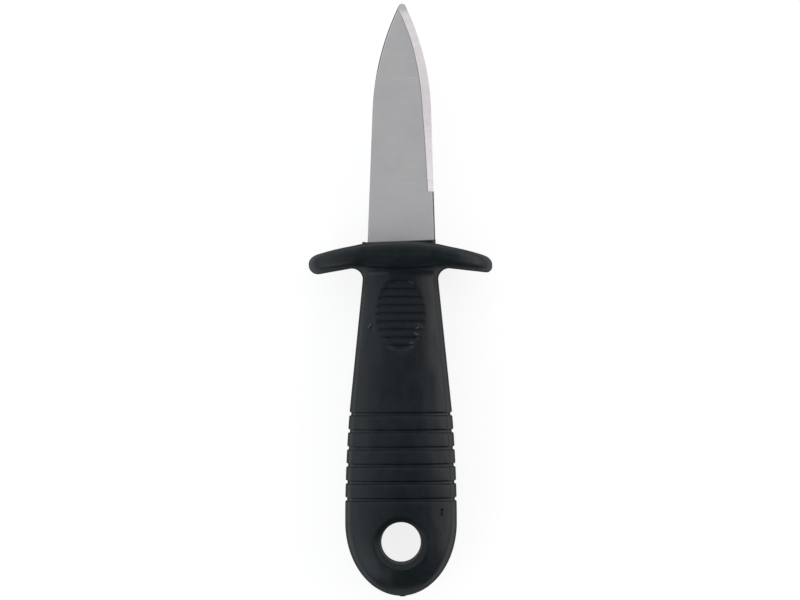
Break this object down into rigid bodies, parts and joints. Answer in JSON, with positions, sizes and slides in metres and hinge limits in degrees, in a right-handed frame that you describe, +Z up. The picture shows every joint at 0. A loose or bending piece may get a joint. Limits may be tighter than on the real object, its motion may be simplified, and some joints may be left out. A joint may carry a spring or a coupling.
{
  "type": "oyster knife",
  "caption": "Oyster knife with a short pointed steel blade, a winged guard and a black plastic grip with bands, thumb pads and a hanging hole.",
  "frame": {"origin": "under the middle of the knife's box, on the surface it lies on", "axes": "+Y from the butt to the blade's tip, +Z up through the broad faces, +X towards the blade's bevelled edge"},
  "size_m": [0.0496, 0.16, 0.019],
  "materials": {
    "blade_steel": "fine satin grain across the blade, brighter ground bevel",
    "handle_plastic": "matt black moulded plastic with a fine spark texture"
  },
  "bodies": {
    "root": {"blade": "blade_steel", "handle": "handle_plastic"}
  },
  "joints": []
}
